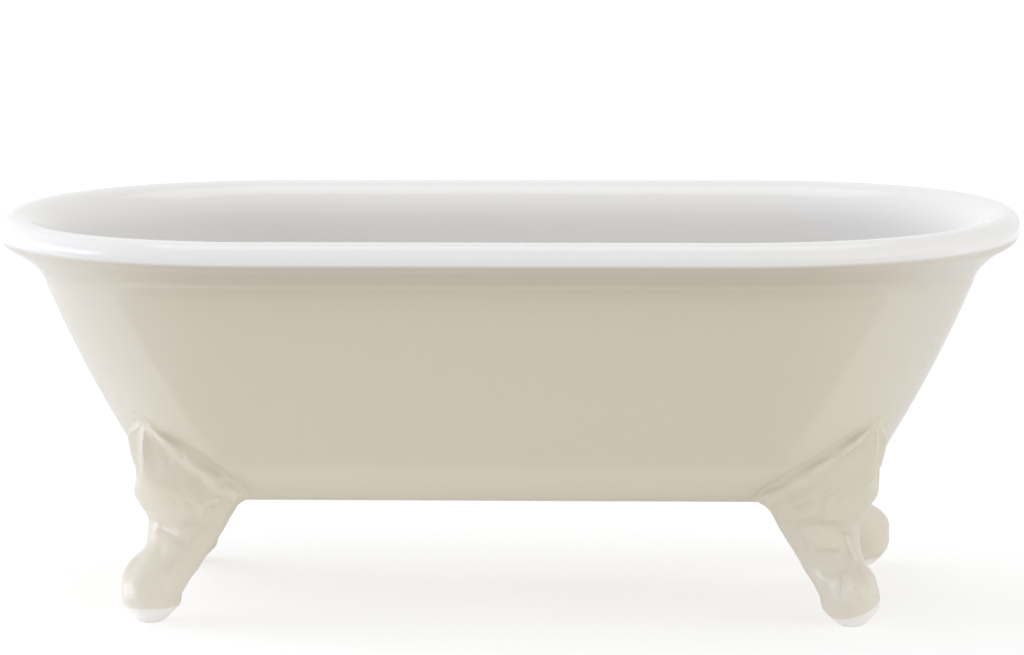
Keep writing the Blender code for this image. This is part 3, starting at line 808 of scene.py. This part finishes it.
def bowl_glaze():
    material, n, shader = principled("bone_and_white_glaze", Roughness=0.09, IOR=1.52)
    where = n.place()
    painted_shade = n.attribute("painted_shade")
    middle = n.share(n.math("ABSOLUTE", n.along(where, "X")), *MIDDLE)
    # Paler round the ends: painted light of the side lamps
    bone = n.mix(middle, BONE_ENDS_LAMPLIT, BONE)
    # Painted shade under the rim on the long sides, and on the white deeper in the basin
    outside = n.mix(n.math("MULTIPLY", painted_shade, middle), bone, UNDER_RIM_SHADE)
    colour = n.mix(n.attribute("white"), outside, n.mix(painted_shade, WHITE, BASIN_SHADED_WHITE))
    n.tree.links.new(colour, shader.inputs["Base Color"])
    waves = n.clouds(where, scale=70, detail=1.5)
    n.tree.links.new(n.bump(waves, strength=0.04, distance=0.001), shader.inputs["Normal"])
    return material


def foot_glaze():
    """Pooled glaze and painted shade in hollows, thin glaze and painted highlight on ridges; bare below."""
    material, n, shader = principled("bone_foot_glaze", IOR=1.52)
    where = n.place()
    bent = n.attribute("bend")
    # Paler down the legs: thinner glaze and painted bounce light
    colour = n.mix(n.share(n.along(where, "Z"), *LOWER_LEG), BONE, BONE_BELOW_BOUNCE_LIT)
    # Deeper in hollows: pooled glaze and painted shade
    colour = n.mix(n.math("MULTIPLY", n.share(bent, *HOLLOW), POOLED_AND_SHADE_SHARE), colour, POOLED_AND_SHADE)
    # Paler over ridges: thin glaze and painted highlight
    colour = n.mix(n.math("MULTIPLY", n.share(bent, *RIDGE), THIN_AND_HIGHLIGHT_SHARE), colour, THIN_AND_HIGHLIGHT)
    grain = n.clouds(where, scale=700, detail=3)
    even = n.math("SUBTRACT", n.attribute("dry"), RAGGED / 2)
    bare = n.share(n.math("MULTIPLY_ADD", grain, RAGGED, even), *RAGGED_EDGE)
    n.tree.links.new(n.mix(bare, colour, BARE_CLAY), shader.inputs["Base Color"])
    roughness = n.math("MULTIPLY_ADD", bare, BARE_ROUGHNESS - FOOT_ROUGHNESS, FOOT_ROUGHNESS)
    n.tree.links.new(roughness, shader.inputs["Roughness"])
    waves = n.clouds(where, scale=260, detail=2)
    n.tree.links.new(n.bump(waves, strength=0.12, distance=0.0006), shader.inputs["Normal"])
    return material


def fired_clay():
    material, n, shader = principled("fired_luting_clay", Roughness=0.7)
    grain = n.clouds(n.place(), scale=900, detail=4)
    n.tree.links.new(n.mix(grain, *LUTING_CLAY), shader.inputs["Base Color"])
    n.tree.links.new(n.bump(grain, strength=0.3, distance=0.0001), shader.inputs["Normal"])
    return material


bowl(bowl_glaze())
feet_finish = foot_glaze()
clay_finish = fired_clay()
# Feet: place, sides, mould and height where the glaze ends
for place, sign_x, sign_y, mould, glaze_end in (
    ("front_left", -1, -1, "first", 0.0027),
    ("front_right", 1, -1, "second", 0.0029),
    ("rear_left", -1, 1, "second", 0.0018),
    ("rear_right", 1, 1, "first", 0.0012),
):
    foot(f"claw_foot_{place}", sign_x, sign_y, f"foot_{place}", mould, glaze_end, feet_finish)
    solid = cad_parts[f"slip_joint_{place}"]
    solid.data.materials.clear()
    solid.data.materials.append(clay_finish)


# Studio

CAMERA_AZIMUTH = 4.61       # degrees round to the right of the front
CAMERA_RISE = 9.28          # degrees above the horizon
CAMERA_ROLL = -0.59
CAMERA_DISTANCE = 1.200
CAMERA_TARGET = Vector((0.0004, 0, 0.0448))
FOCAL_PIXELS = 7209
PICTURE_WIDTH = 1024
LAMP_AIM = Vector((0, 0, 0.03))
DAYLIGHT, WINDOW = (1, 1, 1), (0.95, 0.99, 1.14)
# Softboxes: name, colour, place, width, height, watts, and whether the glaze mirrors them
LAMPS = (
    ("key", DAYLIGHT, (-0.75, 0.65, 1.05), 1.0, 0.8, 4.8, False),
    ("front_top", DAYLIGHT, (0.1, -1.1, 1.3), 1.6, 0.8, 2.2, False),
    ("left", WINDOW, (-1.2, 0.25, 0.45), 1.2, 1.1, 2.6, False),
    ("left_low", WINDOW, (-1.2, 0.0, 0.2), 1.4, 0.45, 5.8, True),
    ("left_front", DAYLIGHT, (-0.9, -0.9, 0.5), 1.5, 1.2, 2.6, False),
    ("right", DAYLIGHT, (1.1, -0.5, 0.45), 1.4, 1.1, 7.3, False),
    ("top", DAYLIGHT, (0.0, 0.0, 1.4), 1.2, 0.8, 4.2, True),
    ("back", DAYLIGHT, (0.1, 1.2, 0.7), 1.4, 0.7, 1.2, False),
)
ROOM_LIGHT = 0.3            # strength of the white room as a light
PAPER = 0.86                # how white the table is
TABLE_EDGE = (-0.062, -0.068)   # where it ends in front, softly, for what the glaze mirrors
ROOM_AHEAD = 0.03           # and how dark the room is there
MIRRORED_GLOW = 0.5         # further white that the glaze mirrors from the table away from the dish
PAPER_SEEN = 0.40           # how white the table's own colour is for the camera
PAPER_LIFT = 0.65           # and the even glow that it sees on top, round the dish
RUN_OUT = (0.16, 0.50)      # distances over which that glow grows to pure white
PAPER_GLOW = 0.26           # light that the table gives back under and round the dish
GLOW_REACH = (0.22, 0.12)   # and the distances over which that comes in


def camera():
    data = bpy.data.cameras.new("camera")
    data.sensor_width = 36.0
    data.lens = FOCAL_PIXELS / PICTURE_WIDTH * data.sensor_width
    data.clip_start, data.clip_end = 0.05, 20
    obj = new_object("camera", data)
    a, e, roll = (math.radians(v) for v in (CAMERA_AZIMUTH, CAMERA_RISE, CAMERA_ROLL))
    back = Vector((math.sin(a) * math.cos(e), -math.cos(a) * math.cos(e), math.sin(e)))
    right = Vector((math.cos(a), math.sin(a), 0))
    up = back.cross(right)
    turned_right = right * math.cos(roll) + up * math.sin(roll)
    turned_up = up * math.cos(roll) - right * math.sin(roll)
    place = CAMERA_TARGET + back * CAMERA_DISTANCE
    axes = Matrix((turned_right, turned_up, back)).transposed().to_4x4()
    obj.matrix_world = Matrix.Translation(place) @ axes
    bpy.context.scene.camera = obj


def softbox(name, colour, place, width, height, watts, mirrored):
    data = bpy.data.lights.new(name, "AREA")
    data.shape = "RECTANGLE"
    data.size, data.size_y = width, height
    data.energy = watts
    data.color = colour
    obj = new_object(name, data)
    obj.location = place
    obj.rotation_euler = (LAMP_AIM - Vector(place)).to_track_quat("-Z", "Y").to_euler()
    obj.visible_camera = False
    obj.visible_glossy = mirrored


def seen_directly(n):
    """1 for what the camera, a mirror or glass sees, 0 for what lights the object."""
    rays = n.add("ShaderNodeLightPath").outputs
    either = n.math("MAXIMUM", rays["Is Camera Ray"], rays["Is Glossy Ray"])
    return n.math("MAXIMUM", either, rays["Is Transmission Ray"])


def surroundings():
    world = bpy.data.worlds.new("studio")
    bpy.context.scene.world = world
    world.use_nodes = True
    n = Nodes(world.node_tree)
    back = world.node_tree.nodes["Background"]
    strength = n.math("MULTIPLY_ADD", seen_directly(n), 1 - ROOM_LIGHT, ROOM_LIGHT)
    world.node_tree.links.new(strength, back.inputs["Strength"])
    back.inputs["Color"].default_value = (1, 1, 1, 1)


def floor():
    """A white table that keeps the shadow near the object and runs out to pure white."""
    bpy.ops.mesh.primitive_circle_add(vertices=96, radius=6, fill_type="NGON")
    obj = bpy.context.object
    obj.name = "floor"
    material = bpy.data.materials.new("white_table")
    material.use_nodes = True
    tree = material.node_tree
    tree.nodes.clear()
    n = Nodes(tree)
    where = n.place()
    distance = n.add("ShaderNodeVectorMath", {0: where}, operation="LENGTH").outputs["Value"]
    far = n.share(distance, *RUN_OUT)
    past_edge = n.share(n.along(where, "Y"), *TABLE_EDGE)
    rays = n.add("ShaderNodeLightPath").outputs
    seen, mirrored, scattered = (rays[f"Is {kind} Ray"] for kind in ("Camera", "Glossy", "Diffuse"))
    shown = n.math("MULTIPLY_ADD", n.math("MULTIPLY", past_edge, mirrored), ROOM_AHEAD - PAPER, PAPER)
    white = n.math("ADD", shown, n.math("MULTIPLY", seen, n.math("SUBTRACT", PAPER_SEEN, shown)))
    tone = n.add("ShaderNodeCombineColor", dict.fromkeys(range(3), white)).outputs[0]
    paper = n.add("ShaderNodeBsdfDiffuse", {"Color": tone}).outputs[0]
    lift = n.math("MULTIPLY", seen, n.math("MULTIPLY_ADD", far, 1 - PAPER_LIFT, PAPER_LIFT))
    given_back = n.math("MULTIPLY", n.share(distance, *GLOW_REACH), scattered)
    lift = n.math("MULTIPLY_ADD", given_back, PAPER_GLOW, lift)
    kept = n.math("MULTIPLY", n.math("MULTIPLY", far, mirrored), n.math("SUBTRACT", 1, past_edge))
    lift = n.math("MULTIPLY_ADD", kept, MIRRORED_GLOW, lift)
    glow = n.add("ShaderNodeEmission", {"Color": (1, 1, 1, 1), "Strength": lift}).outputs[0]
    whole = n.add("ShaderNodeAddShader", {0: paper, 1: glow}).outputs[0]
    n.add("ShaderNodeOutputMaterial", {"Surface": whole})
    obj.data.materials.append(material)


camera()
surroundings()
floor()
for lamp in LAMPS:
    softbox(*lamp)
bpy.context.scene.view_settings.view_transform = "Standard"
